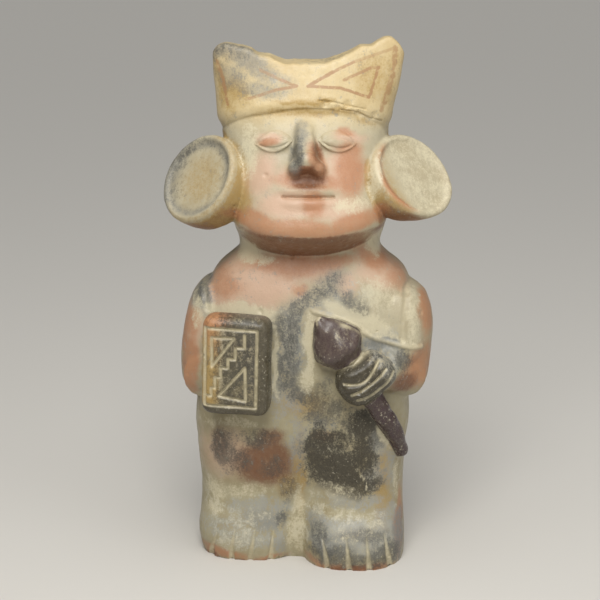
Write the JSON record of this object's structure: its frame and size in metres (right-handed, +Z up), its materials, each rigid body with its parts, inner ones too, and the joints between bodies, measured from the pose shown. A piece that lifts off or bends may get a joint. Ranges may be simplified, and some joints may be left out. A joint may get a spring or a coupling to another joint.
{
  "type": "ceramic whistle",
  "caption": "Hollow fired-clay whistle in the form of a standing warrior with a horned crown, ear spools, shield and club, and a mouthpiece on its back.",
  "frame": {"origin": "on the flat underside, under the middle of the head", "axes": "+Z up, -Y the way the figure faces, +X towards its left hand"},
  "size_m": [0.0774, 0.0579, 0.1421],
  "materials": {
    "fired_clay": "burnished slip, worn and fire-clouded"
  },
  "bodies": {
    "root": {"whistle_figure": "fired_clay"}
  },
  "joints": []
}
